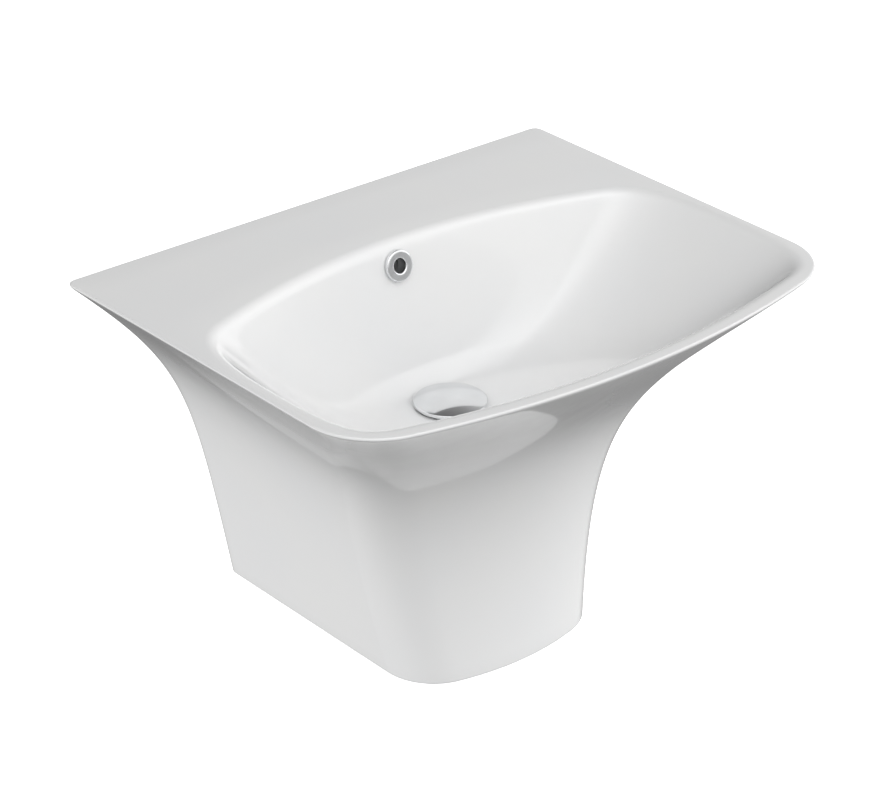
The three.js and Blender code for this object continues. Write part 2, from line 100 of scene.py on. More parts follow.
OVERFLOW = {"drop": 22, "outer": 15, "bore": 7, "proud": 4, "seat": 0.8, "tilt": 15}
DUCT_INNER = [(-113, 12), (-139, 121), (-160, 147), (-190, 150)]
DUCT_OUTER = [(-190, 163), (-153, 160), (-128, 125), (-99, 12)]
DUCT_SKIN = [(-190, 172), (-148, 169), (-118, 129), (-89, 4)]
DUCT_WIDTH = {"inside": 32, "outside": 52}

# ---------------------------------------------------------------- sizes of the fittings
GAP = 0.3
RECESS = {"radius": 32, "deep": 4.5}  # for the waste's flange
BOSS = {"radius": 38, "top": 140, "bottom": 176}  # round the waste, its ends below the rim
WASTE = {"tube": 20.8, "bore": 17.8, "hole": 23}
WASTE_WINDOW = 156.5  # middle of the overflow windows below the rim
SPIDER = {"top": 170, "bottom": 182, "outer": 10.5, "inner": 8.3, "arms": 3}
WASHER_BORE = 21.1
PLUG_LIFT = 9
COLLAR_TOP = 184
PIPE = {"outer": 16, "bore": 14.5, "hole": 16.4}
OUTLET_DROP = 282
CUP = {"ledge": 318.2, "grip": 320}  # below the rim
BOLT_HOLE = 7

# Points in each stretch of a half outline, from the back's middle to the front's middle. The
# outside and the bowl have as many points in all, so that the deck can join them.
OUTSIDE_STEPS = {"back": 30, "back_corner": 6, "side": 34, "front_corner": 26, "front": 24}
BOWL_STEPS = {"back": 30, "back_corner": 34, "front_corner": 32, "front": 24}
SKIRT_LEVELS = 56
BOWL_LEVELS = 60
DECK_LEVELS = 4
ROUND_STEPS = 6


# ---------------------------------------------------------------- helpers
def mix(a, b, share):
    return a + (b - a) * share


def bezier(controls, t):
    a, b, c, d = controls
    s = 1 - t
    return a * s**3 + 3 * b * s * s * t + 3 * c * s * t * t + d * t**3


def height(drop):
    return RIM_Z - drop


def mesh_object(name, bm):
    """A bmesh in millimetres as an object in metres, with its faces turned outward."""
    bmesh.ops.recalc_face_normals(bm, faces=bm.faces)
    mesh = bpy.data.meshes.new(name)
    bm.to_mesh(mesh)
    bm.free()
    mesh.transform(Matrix.Scale(MM, 4))
    obj = bpy.data.objects.new(name, mesh)
    bpy.context.scene.collection.objects.link(obj)
    return obj


def smooth(obj, angle=32):
    obj.data.shade_smooth()
    obj.data.set_sharp_from_angle(angle=math.radians(angle))
    return obj


def surface(mesh):
    return sum(face.area for face in mesh.polygons)


def combine(target, tools, operation="DIFFERENCE"):
    """Cuts the tools from the target, or joins them to it, and removes them."""
    for tool in tools:
        modifier = target.modifiers.new("combine", "BOOLEAN")
        modifier.operation = operation
        modifier.solver = "MANIFOLD"
        modifier.object = tool
        graph = bpy.context.evaluated_depsgraph_get()
        made = bpy.data.meshes.new_from_object(target.evaluated_get(graph))
        if surface(made) == surface(target.data):
            raise RuntimeError(f"{target.name} is unchanged by {tool.name}")
        target.modifiers.clear()
        target.data = made
        bpy.data.objects.remove(tool)
    return target


def quadratic(before, corner, after, u):
    return before * (1 - u) ** 2 + corner * (2 * u * (1 - u)) + after * u * u


def soften(corners, radius, closed=True, steps=4):
    """An outline's corners, each rounded off by up to a radius."""
    points = [Vector(corner) for corner in corners]
    rounded = []
    for i, here in enumerate(points):
        if not closed and i in (0, len(points) - 1):
            rounded.append(here)
            continue
        before = points[i - 1] - here
        after = points[(i + 1) % len(points)] - here
        reach = min(radius, before.length * 0.45, after.length * 0.45)
        start = here + before.normalized() * reach
        end = here + after.normalized() * reach
        rounded += [quadratic(start, here, end, k / steps) for k in range(steps + 1)]
    return rounded


# ---------------------------------------------------------------- lofted shapes
def mirrored(left_half):
    return left_half + [Vector((-p.x, p.y)) for p in reversed(left_half[1:-1])]


def outside_plan(half_width, depth, bow, corner, back=0.0):
    """Plan of the outside: straight back and sides, and a bowed front with round corners."""
    arc = (half_width**2 + bow**2) / (2 * bow)
    arc_y = arc - depth
    corner_x = -(half_width - corner)
    corner_y = arc_y - math.sqrt((arc - corner) ** 2 - corner_x**2)
    turn = math.atan2(corner_y - arc_y, corner_x)
    back_x = -(half_width - BACK_CORNER)
    points = []
    for i in range(OUTSIDE_STEPS["back"]):
        points.append(Vector((back_x * i / OUTSIDE_STEPS["back"], back)))
    for i in range(OUTSIDE_STEPS["back_corner"]):
        angle = math.pi / 2 * (1 + i / OUTSIDE_STEPS["back_corner"])
        x = back_x + BACK_CORNER * math.cos(angle)
        points.append(Vector((x, back - BACK_CORNER + BACK_CORNER * math.sin(angle))))
    for i in range(OUTSIDE_STEPS["side"]):
        share = i / OUTSIDE_STEPS["side"]
        points.append(Vector((-half_width, mix(back - BACK_CORNER, corner_y, share))))
    for i in range(OUTSIDE_STEPS["front_corner"]):
        angle = mix(-math.pi, turn, i / OUTSIDE_STEPS["front_corner"])
        x = corner_x + corner * math.cos(angle)
        points.append(Vector((x, corner_y + corner * math.sin(angle))))
    for i in range(OUTSIDE_STEPS["front"] + 1):
        angle = mix(turn, -math.pi / 2, i / OUTSIDE_STEPS["front"])
        points.append(Vector((arc * math.cos(angle), arc_y + arc * math.sin(angle))))
    return mirrored(points)


def skirt_ring(t, inset=0.0, back=0.0, drop=None):
    """One level of the outside, t = 0 at the rim and 1 at the foot, drawn in by an inset."""
    plan = outside_plan(
        bezier(SKIRT_HALF_WIDTH, t) - inset,
        bezier(SKIRT_DEPTH, t) - inset,
        mix(*FRONT_BOW, t),
        mix(*FRONT_CORNER, t) - inset,
        back,
    )
    z = height(bezier(SKIRT_DROP, t) if drop is None else drop)
    return [Vector((p.x, p.y, z)) for p in plan]


def cubic(a, b, c, d, share):
    x, y = (bezier(along, share) for along in zip(a, b, c, d))
    return Vector((x, y))


def bowl_plan():
    """Plan of the bowl's opening: two arcs joined by soft corners that leave along the arcs."""
    half_width, back, front = BOWL["half_width"], BOWL["back"], BOWL["front"]
    widest = BOWL["widest"]
    back_slope = ARC_END / BACK_ARC
    front_slope = ARC_END / FRONT_ARC
    back_end = (-ARC_END, back - back_slope * ARC_END / 2)
    front_end = (-ARC_END, front + front_slope * ARC_END / 2)
    side = (-half_width, widest)
    side_back = (-half_width, widest + SIDE_REACH["back"])
    side_front = (-half_width, widest - SIDE_REACH["front"])
    reach_x = -ARC_END - CORNER_REACH
    back_reach = (reach_x, back_end[1] - back_slope * CORNER_REACH)
    front_reach = (reach_x, front_end[1] + front_slope * CORNER_REACH)
    points = []
    for i in range(BOWL_STEPS["back"]):
        x = -ARC_END * i / BOWL_STEPS["back"]
        points.append(Vector((x, back - x * x / (2 * BACK_ARC))))
    for i in range(BOWL_STEPS["back_corner"]):
        share = i / BOWL_STEPS["back_corner"]
        points.append(cubic(back_end, back_reach, side_back, side, share))
    for i in range(BOWL_STEPS["front_corner"]):
        share = i / BOWL_STEPS["front_corner"]
        points.append(cubic(side, side_front, front_reach, front_end, share))
    for i in range(BOWL_STEPS["front"] + 1):
        x = -ARC_END * (1 - i / BOWL_STEPS["front"])
        points.append(Vector((x, front + x * x / (2 * FRONT_ARC))))
    return mirrored(points)


def back_spread(fall):
    """How far the back wall has closed in: a steep wall, then a soft crease at the floor."""
    wall = mix(1, CREASE["spread"], fall / CREASE["fall"])
    floor = mix(CREASE["spread"], 0, (fall - CREASE["fall"]) / (1 - CREASE["fall"]))
    gap = wall - floor
    soft = CREASE["soft"]
    return (wall + floor - math.sqrt(gap * gap + soft * soft)) / 2


def back_wall(fall):
    spread = back_spread(fall)
    spread += (1 - back_spread(0)) * (1 - fall) - back_spread(1) * fall
    return mix(DRAIN_Y + DRAIN_RADIUS, BOWL["back"], spread)


def bowl_point(p, t, grow=0.0):
    """Where a point of the opening's plan goes at t = 0 (the opening) to 1 (the drain)."""
    fall = bezier(SCOOP_FALL, t)
    spread = bezier(SCOOP_SPREAD, t)
    half_width = mix(DRAIN_RADIUS, BOWL["half_width"], spread) + grow
    middle = mix(DRAIN_Y, BOWL["widest"], spread)
    behind = p.y > BOWL["widest"]
    edge = BOWL["back"] if behind else BOWL["front"]
    unit = Vector((p.x / BOWL["half_width"], (p.y - BOWL["widest"]) / abs(edge - BOWL["widest"])))
    unit = unit.lerp(unit.normalized(), fall**4)
    if behind:
        reach = back_wall(fall) + grow - middle
    else:
        reach = middle - mix(DRAIN_Y - DRAIN_RADIUS, BOWL["front"], spread) + grow
    z = height((BOWL["depth"] + grow) * fall)
    return Vector((unit.x * half_width, middle + unit.y * reach, z))


def round_off(before, corner, after):
    """Rings that round a corner off, from the ring before it to the ring after it."""
    shares = [k / ROUND_STEPS for k in range(ROUND_STEPS + 1)]
    return [[quadratic(b, c, a, u) for b, c, a in zip(before, corner, after)] for u in shares]


def loft(name, rings):
    """A closed body through rings with as many points each, listed from one end to the other."""
    bm = bmesh.new()
    made = [[bm.verts.new(p) for p in ring] for ring in rings]
    count = len(rings[0])
    for low, high in zip(made, made[1:]):
        for i in range(count):
            j = (i + 1) % count
            bm.faces.new((low[i], low[j], high[j], high[i]))
    bm.faces.new(reversed(made[0]))
    bm.faces.new(made[-1])
    return mesh_object(name, bm)


def plate(name, outline, width):
    """A plate across x = 0, from its outline as (y, drop) corners."""
    bm = bmesh.new()
    sides = []
    for x in (-width / 2, width / 2):
        sides.append([bm.verts.new((x, y, height(drop))) for y, drop in outline])
    count = len(outline)
    for i in range(count):
        j = (i + 1) % count
        bm.faces.new((sides[0][i], sides[0][j], sides[1][j], sides[1][i]))
    bm.faces.new(sides[0])
    bm.faces.new(reversed(sides[1]))
    return mesh_object(name, bm)


# ---------------------------------------------------------------- turned shapes
def turned(name, rows, segments=96, shape=None, place=None, closed=False):
    """A body turned about the Z axis, placed by a matrix.

    A row is a (radius, z) pair, or a function from the share of a turn to one, for a thread.
    shape may change a radius from the angle, the radius and z. A closed body has a bore.
    """
    bm = bmesh.new()
    columns = []
    for k in range(segments + 1):
        share = k / segments
        angle = 2 * math.pi * share
        column = []
        for row in rows:
            radius, z = row(share) if callable(row) else row
            if shape and radius > 0:
                radius = shape(angle, radius, z)
            column.append(bm.verts.new((radius * math.cos(angle), radius * math.sin(angle), z)))
        columns.append(column)
    count = len(rows)
    for left, right in zip(columns, columns[1:]):
        for i in range(count if closed else count - 1):
            j = (i + 1) % count
            bm.faces.new((left[i], right[i], right[j], left[j]))
    bmesh.ops.remove_doubles(bm, verts=bm.verts, dist=0.001)
    bmesh.ops.dissolve_degenerate(bm, edges=bm.edges, dist=0.0005)
    if place:
        bm.transform(place)
    return mesh_object(name, bm)


def ring_rows(inner, outer, low, high, soft=0.3):
    return soften([(inner, low), (outer, low), (outer, high), (inner, high)], soft)


def thread(root, crest, low, high, pitch):
    """Rows of an outside thread from its low end up. Each row climbs by the pitch in a turn."""

    def climbing(start, radius):
        def row(share):
            z = start + pitch * share
            if low < z < high:
                return radius, z
            return root, min(max(z, low), high)

        return row

    rows = [(root, low)]
    start = low - pitch
    while start < high:
        rows += [climbing(start + 0.1 * pitch, root), climbing(start + 0.4 * pitch, crest)]
        rows += [climbing(start + 0.6 * pitch, crest), climbing(start + 0.9 * pitch, root)]
        start += pitch
    return rows + [(root, high)]


def ribbed(count, depth, low, high):
    """Grip ribs: grooves between low and high that fade out at both ends."""

    def shape(angle, radius, z):
        fade = max(0.0, min(1.0, (z - low) / 1.5, (high - z) / 1.5))
        groove = (0.5 - 0.5 * math.cos(count * angle)) ** 3
        return radius - depth * fade * groove

    return shape


def beyond(reach, shape):
    """The shape, but only for radii past a reach."""

    def outer_only(angle, radius, z):
        return shape(angle, radius, z) if radius > reach else radius

    return outer_only


def grip_rows(rows, reach):
    """The rows, with seven more along each long face past a reach, for ribs to fade in."""
    made = []
    for row, following in zip(rows, rows[1:] + rows[:1]):
        made.append(row)
        if abs(following[1] - row[1]) > 5 and row[0] > reach:
            made += [row.lerp(following, k / 8) for k in range(1, 8)]
    return made


def hexagonal(corner, low, high):
    """Six flats with the usual turned chamfer at both ends. Radii under the flats stay."""
    flat = corner * math.cos(math.pi / 6)

    def shape(angle, radius, z):
        if radius < flat * 0.9:
            return radius
        toward = (angle + math.pi / 6) % (math.pi / 3) - math.pi / 6
        end = min(z - low, high - z)
        return min(flat / math.cos(toward), flat + end * 1.7, radius)

    return shape


AXES = {
    "+Z": Matrix.Identity(4),
    "+Y": Matrix.Rotation(-math.pi / 2, 4, "X"),
    "-Y": Matrix.Rotation(math.pi / 2, 4, "X"),
}


class Seat:
    """Where a turned CAD node sits: its axis, its ends along that axis and its radius."""

    def __init__(self, node, axis="+Z"):
        low, high = box(node)
        middle = (low + high) / 2
        self.radius = (high.x - low.x) / 2
        if axis == "+Z":
            self.low, self.high = low.z, high.z
            offset = Vector((middle.x, middle.y, 0))
        else:
            ends = (low.y, high.y) if axis == "+Y" else (-high.y, -low.y)
            self.low, self.high = ends
            offset = Vector((middle.x, 0, middle.z))
        self.place = Matrix.Translation(offset) @ AXES[axis]


# ---------------------------------------------------------------- materials
class Nodes:
    """A node material in the making: its tree, its shader and short ways to add nodes."""

    def __init__(self, name):
        self.material = bpy.data.materials.new(name)
        self.material.use_nodes = True
        self.tree = self.material.node_tree
        self.shader = self.tree.nodes["Principled BSDF"]
        self.where = self.add("ShaderNodeTexCoord").outputs["Object"]

    def add(self, kind, **settings):
        node = self.tree.nodes.new(kind)
        for key, value in settings.items():
            setattr(node, key, value)
        return node

    def link(self, source, target):
        self.tree.links.new(source, target)

    def noise(self, scale, detail=2.0, stretch=(1, 1, 1)):
        mapping = self.add("ShaderNodeMapping")
        mapping.inputs["Scale"].default_value = stretch
        self.link(self.where, mapping.inputs["Vector"])
        texture = self.add("ShaderNodeTexNoise")
        texture.inputs["Scale"].default_value = scale
        texture.inputs["Detail"].default_value = detail
        self.link(mapping.outputs["Vector"], texture.inputs["Vector"])
        return texture.outputs["Fac"]

    def between(self, factor, low, high):
        """A number that goes from low to high as the factor goes from 0.3 to 0.7."""
        node = self.add("ShaderNodeMapRange")
        node.inputs["From Min"].default_value = 0.3
        node.inputs["From Max"].default_value = 0.7
        node.inputs["To Min"].default_value = low
        node.inputs["To Max"].default_value = high
        self.link(factor, node.inputs["Value"])
        return node.outputs["Result"]

    def blend(self, factor, first, second):
        """A colour that goes from the first to the second. Each is a colour or a socket."""
        node = self.add("ShaderNodeMix", data_type="RGBA")
        self.link(factor, node.inputs["Factor"])
        for socket, colour in (("A", first), ("B", second)):
            target = [s for s in node.inputs if s.name == socket and s.type == "RGBA"][0]
            if isinstance(colour, tuple):
                target.default_value = (*colour, 1)
            else:
                self.link(colour, target)
        return [s for s in node.outputs if s.type == "RGBA"][0]

    def bump(self, factor, depth):
        """Raises the surface by a depth in metres."""
        node = self.add("ShaderNodeBump")
        node.inputs["Strength"].default_value = 1
        node.inputs["Distance"].default_value = depth
        self.link(factor, node.inputs["Height"])
        self.link(node.outputs["Normal"], self.shader.inputs["Normal"])

    def set(self, **values):
        for key, value in values.items():
            self.shader.inputs[key.replace("_", " ")].default_value = value

    def feed(self, name, source):
        self.link(source, self.shader.inputs[name])


GLAZE_COOL = (0.86, 0.865, 0.87)
GLAZE_WARM = (0.88, 0.88, 0.875)


def glaze():
    """White vitreous glaze: a faint waviness, faint warmer clouds, and a clear gloss."""
    nodes = Nodes("white_glaze")
    nodes.set(IOR=1.5, Coat_Weight=1.0, Coat_Roughness=0.03, Coat_IOR=1.5)
    clouds = nodes.between(nodes.noise(9, 3), 0, 1)
    nodes.feed("Base Color", nodes.blend(clouds, GLAZE_COOL, GLAZE_WARM))
    nodes.feed("Roughness", nodes.between(nodes.noise(30, 3), 0.16, 0.24))
    nodes.bump(nodes.noise(70, 1), 0.00003)
    return nodes.material


def bisque():
    """The unglazed clay of the back and the foot's underside."""
    nodes = Nodes("bare_clay")
    nodes.set(Roughness=0.75)
    grain = nodes.between(nodes.noise(900, 2), 0, 1)
    nodes.feed("Base Color", nodes.blend(grain, (0.74, 0.72, 0.68), (0.82, 0.80, 0.77)))
    nodes.bump(nodes.noise(1500, 2), 0.0001)
    return nodes.material


def chrome():
    nodes = Nodes("polished_chrome")
    nodes.set(Metallic=1.0)
    wipes = nodes.noise(260, 4, (1, 6, 1))
    nodes.feed("Roughness", nodes.between(wipes, 0.05, 0.13))
    haze = nodes.between(nodes.noise(60, 3), 0, 1)
    nodes.feed("Base Color", nodes.blend(haze, (0.80, 0.81, 0.82), (0.86, 0.87, 0.88)))
    nodes.bump(nodes.noise(90, 2), 0.00001)
    return nodes.material


def brass():
    nodes = Nodes("turned_brass")
    nodes.set(Metallic=1.0)
    lathe_marks = nodes.noise(300, 2, (0.2, 0.2, 12))
    nodes.feed("Roughness", nodes.between(lathe_marks, 0.22, 0.38))
    tarnish = nodes.between(nodes.noise(110, 4), 0, 1)
    nodes.feed("Base Color", nodes.blend(tarnish, (0.70, 0.50, 0.22), (0.80, 0.62, 0.33)))
    nodes.bump(lathe_marks, 0.00002)
    return nodes.material


def zinc():
    nodes = Nodes("zinc_plate")
    nodes.set(Metallic=1.0)
    spangle = nodes.between(nodes.noise(420, 3), 0, 1)
    nodes.feed("Base Color", nodes.blend(spangle, (0.56, 0.58, 0.61), (0.72, 0.73, 0.74)))
    nodes.feed("Roughness", nodes.between(nodes.noise(500, 4), 0.24, 0.4))
    nodes.bump(nodes.noise(1200, 2), 0.00002)
    return nodes.material


def rubber():
    nodes = Nodes("black_rubber")
    dust = nodes.between(nodes.noise(200, 5), 0, 1)
    nodes.feed("Base Color", nodes.blend(dust, (0.018, 0.018, 0.019), (0.045, 0.045, 0.046)))
    nodes.feed("Roughness", nodes.between(nodes.noise(350, 3), 0.6, 0.8))
    nodes.bump(nodes.noise(1800, 2), 0.00005)
    return nodes.material


def white_plastic():
    """Satin moulded plastic with a fine spark-eroded grain."""
    nodes = Nodes("satin_plastic")
    tint = nodes.between(nodes.noise(40, 3), 0, 1)
    nodes.feed("Base Color", nodes.blend(tint, (0.80, 0.80, 0.775), (0.85, 0.85, 0.83)))
    nodes.feed("Roughness", nodes.between(nodes.noise(700, 2), 0.36, 0.48))
    nodes.bump(nodes.noise(2200, 1), 0.00003)
    return nodes.material


MATERIALS = {
    "glazed_ceramic": glaze(),
    "chrome": chrome(),
    "brass": brass(),
    "zinc_steel": zinc(),
    "rubber": rubber(),
    "white_plastic": white_plastic(),
}
BODY_OF = {
    node: body for body, nodes in frame["record"]["behaviour"]["bodies"].items() for node in nodes
}
SLOT_OF = {part["node"]: part["material_slot"] for part in frame["record"]["subparts"]}


def stands_for(obj, node, angle=32):
    """The piece replaces a CAD node: it takes that node's body and finish."""
    slot = SLOT_OF[node]
    obj.data.materials.clear()
    obj.data.materials.append(MATERIALS[slot])
    smooth(obj, angle)
    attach(obj, BODY_OF[node])
    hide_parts(node)
    return obj


def turned_piece(node, rows, place, segments=96, closed=True, shape=None, angle=32):
    """A turned body that stands for a CAD node."""
    made = turned(node + "_fine", rows, segments, shape, place, closed)
    return stands_for(made, node, angle)


# ---------------------------------------------------------------- the ceramic
def deck_to_wall(plan):
    """Rings of the bowl's edge, and the share of the bowl's wall that each point starts at."""
    count = len(plan)
    deck, corner, wall, starts = [], [], [], []
    for i, p in enumerate(plan):
        along = plan[(i + 1) % count] - plan[i - 1]
        outward = Vector((along.y, -along.x)).normalized()
        if outward.dot(p - Vector((0, BOWL["widest"]))) < 0:
            outward.negate()
        backness = max(0.0, (p.y - BOWL["widest"]) / (BOWL["back"] - BOWL["widest"]))
        radius = mix(EDGE_ROUND["front"], EDGE_ROUND["back"], backness**2)
        step = 0.01
        speed = (bowl_point(p, step) - bowl_point(p, 0)).length / step
        starts.append(radius / speed)
        deck.append(Vector((*(p + outward * radius), RIM_Z)))
        corner.append(Vector((*p, RIM_Z)))
        wall.append(bowl_point(p, starts[-1]))
    return round_off(deck, corner, wall), starts


def basin_skin():
    """The whole outside: foot, skirt, rim, deck, and the bowl down to the drain."""
    foot_start = 1 - FOOT_ROUND / (3 * (HEIGHT - SKIRT_DROP[2]))
    rim_start = 2 * RIM_ROUND / (3 * (SKIRT_DROP[1] - RIM_EDGE))
    rings = round_off(skirt_ring(1, FOOT_ROUND), skirt_ring(1), skirt_ring(foot_start))
    for level in range(1, SKIRT_LEVELS):
        rings.append(skirt_ring(mix(foot_start, rim_start, level / SKIRT_LEVELS)))
    edge = skirt_ring(0, drop=RIM_ROUND)
    rings += round_off(skirt_ring(rim_start), skirt_ring(0), edge)
    deck_edge = skirt_ring(0, RIM_ROUND, -RIM_ROUND, 0)
    rings += round_off(edge, skirt_ring(0, drop=0), deck_edge)[1:]
    plan = bowl_plan()
    opening, starts = deck_to_wall(plan)
    for level in range(1, DECK_LEVELS):
        share = level / DECK_LEVELS
        rings.append([a.lerp(b, share) for a, b in zip(deck_edge, opening[0])])
    rings += opening
    for level in range(1, BOWL_LEVELS + 1):
        share = level / BOWL_LEVELS
        rings.append([bowl_point(p, mix(t, 1, share)) for p, t in zip(plan, starts)])
    return loft("basin_body_fine", rings)


def bowl_block():
    """The bowl grown by the thickness of the ceramic, as a solid that reaches past the rim."""
    plan = bowl_plan()
    shares = [1 - level / BOWL_LEVELS for level in range(BOWL_LEVELS + 1)]
    rings = [[bowl_point(p, t, WALL) for p in plan] for t in shares]
    rings.append([Vector((p.x, p.y, height(-2))) for p in rings[-1]])
    return loft("bowl_block", rings)


def drain_cylinder(name, rows):
    return turned(name, rows, place=Matrix.Translation((0, DRAIN_Y, 0)))


def basin_hollow():
    """The space under the bowl, open at the wall and at the foot."""
    past_wall = BACK_CORNER + 2
    top_share = 0.04
    foot_start = 1 - FOOT_ROUND / (3 * (HEIGHT - SKIRT_DROP[2]))
    mouth = WALL - FOOT_ROUND
    rings = [skirt_ring(1, mouth, past_wall, HEIGHT + 2)]
    rings += round_off(
        skirt_ring(1, mouth, past_wall),
        skirt_ring(1, WALL, past_wall),
        skirt_ring(foot_start, WALL, past_wall),
    )
    levels = SKIRT_LEVELS // 2
    for level in range(1, levels + 1):
        t = mix(foot_start, top_share, level / levels)
        inset = mix(WALL + 6, WALL, min(1, t * 3))
        rings.append(skirt_ring(t, inset, past_wall))
    hollow = loft("basin_hollow", rings)
    deck = soften(
        [(past_wall + 9, -2), (-DEPTH, -2), (-DEPTH, DECK_THICK), (past_wall + 9, DECK_THICK)], 0.1
    )
    rib = soften(
        [(past_wall + 9, -2), (-RIB["thick"], -2), (-RIB["thick"], RIB["drop"]),
         (past_wall + 9, RIB["drop"])], 4
    )
    boss_top, boss_bottom = height(BOSS["top"]), height(BOSS["bottom"])
    boss = soften(
        [(0, boss_bottom), (BOSS["radius"], boss_bottom), (BOSS["radius"], boss_top),
         (0, boss_top)], 3, closed=False
    )
    tools = [
        bowl_block(),
        plate("deck_block", deck, WIDTH),
        plate("rib_block", rib, WIDTH),
        drain_cylinder("boss_block", boss),
        plate("duct_block", soften(DUCT_INNER + DUCT_SKIN, 5), DUCT_WIDTH["outside"]),
    ]
    return combine(hollow, tools)


def overflow_place():
    """The overflow ring's face stands proud of the bowl's back wall, tipped up a little."""
    lean = math.radians(90 - OVERFLOW["tilt"])
    wall_y = back_wall(OVERFLOW["drop"] / BOWL["depth"])
    y = wall_y - (OVERFLOW["proud"] + OVERFLOW["seat"]) / math.sin(lean)
    return Matrix.Translation((0, y, height(OVERFLOW["drop"]))) @ Matrix.Rotation(lean, 4, "X")


def drain_cutter():
    """The recess for the waste's flange and the hole under it, with eased edges."""
    floor = height(BOWL["depth"])
    bottom, hole = height(BOSS["bottom"]), WASTE["hole"]
    recess, radius = RECESS["deep"], RECESS["radius"]
    return drain_cylinder("drain_cutter", [
        (0, bottom - 1), (hole + 2.5, bottom - 1), (hole + 1.5, bottom), (hole, bottom + 1.5),
        (hole, floor - recess - 0.8), (hole + 0.8, floor - recess), (radius - 0.8, floor - recess),
        (radius, floor - recess + 0.8), (radius, floor - 0.8), (radius + 0.3, floor - 0.3),
        (radius + 1, floor), (radius + 1, floor + 0.5), (0, floor + 0.5),
    ])


def basin_body():
    body = basin_skin()
    tools = [basin_hollow(), drain_cutter()]
    tools.append(plate("duct_cutter", soften(DUCT_INNER + DUCT_OUTER, 3), DUCT_WIDTH["inside"]))
    bore = [(0, -18), (11, -18), (11, 10), (0, 10)]
    tools.append(turned("overflow_cutter", bore, place=overflow_place()))
    hole, rib = BOLT_HOLE, RIB["thick"]
    for side in ("left", "right"):
        rows = [(0, -1), (hole + 1.8, -1), (hole + 0.8, 0), (hole, 0.8), (hole, rib - 0.8),
                (hole + 0.8, rib), (hole + 1.8, rib + 1), (0, rib + 1)]
        place = Seat("fixing_stud_" + side, "-Y").place
        tools.append(turned("bolt_cutter_" + side, rows, 48, place=place))
    combine(body, tools)
    stands_for(body, "basin_body", 30)
    body.data.materials.append(bisque())
    back, foot = -0.3 * MM, (BASIN_LOW.z + 0.3) * MM
    for face in body.data.polygons:
        at_wall = face.center.y > back and face.normal.y > 0.9
        at_foot = face.center.z < foot and face.normal.z < -0.9
        if at_wall or at_foot:
            face.material_index = 1


# ---------------------------------------------------------------- overflow, waste and plug
def overflow_fitting():
    outer, bore, proud = OVERFLOW["outer"], OVERFLOW["bore"], OVERFLOW["proud"]
    spigot = [(bore, -12), (bore + 1, -12), (bore + 1, -proud), (outer - 0.6, -proud)]
    rows = soften(spigot, 0.2, False)
    rows += soften([(outer, -proud + 0.6), (outer, 0), (outer - 3, 0)], 1.6, False)
    rows += soften([(bore + 3, -0.1), (bore, -0.1), (bore, -3)], 1.8, False)
    turned_piece("overflow_ring", rows, overflow_place(), 128)
    sleeve = ring_rows(bore + 1.3, 10.7, -11, -proud - 0.3)
    turned_piece("overflow_sleeve", sleeve, overflow_place())


def plug():
    cap = Seat("plug_cap")
    edge = cap.low + 3
    rows = soften([
        (0, cap.low + 0.6), (cap.radius - 3, cap.low + 0.6), (cap.radius - 2.4, cap.low),
        (cap.radius - 0.7, cap.low), (cap.radius, cap.low + 0.8), (cap.radius, edge - 0.2),
    ], 0.3, closed=False)
    shoulder = cap.radius - 1.1
    rows += [Vector((cap.radius - 0.12, edge + 0.25)), Vector((cap.radius - 0.45, edge + 0.6))]
    steps = 24
    for i in range(steps + 1):
        r = shoulder * (1 - i / steps)
        rows.append(Vector((r, mix(edge + 0.55, cap.high, 1 - (r / cap.radius) ** 2))))
    turned_piece("plug_cap", rows, cap.place, 144, closed=False, angle=50)

    seal = Seat("plug_seal")
    rows = soften([
        (4.6, seal.low), (15, seal.low), (seal.radius, seal.low + 1.4), (seal.radius, seal.high),
        (4.6, seal.high),
    ], 0.5)
    turned_piece("plug_seal", rows, seal.place)

    stem = Seat("plug_stem")
    collar = 3
    rod = 4
    rows = [(0, stem.low), (stem.radius - 0.5, stem.low), (stem.radius, stem.low + 0.5)]
    rows += [(stem.radius, stem.low + collar - 0.5), (stem.radius - 0.5, stem.low + collar)]
    rows += [(rod, stem.low + collar), (rod, stem.high - 12)]
    rows += thread(rod - 0.5, rod, stem.high - 12, stem.high - 0.5, 1)
    rows += [(rod - 0.6, stem.high), (0, stem.high)]
    turned_piece("plug_stem", rows, stem.place, 64, closed=False)


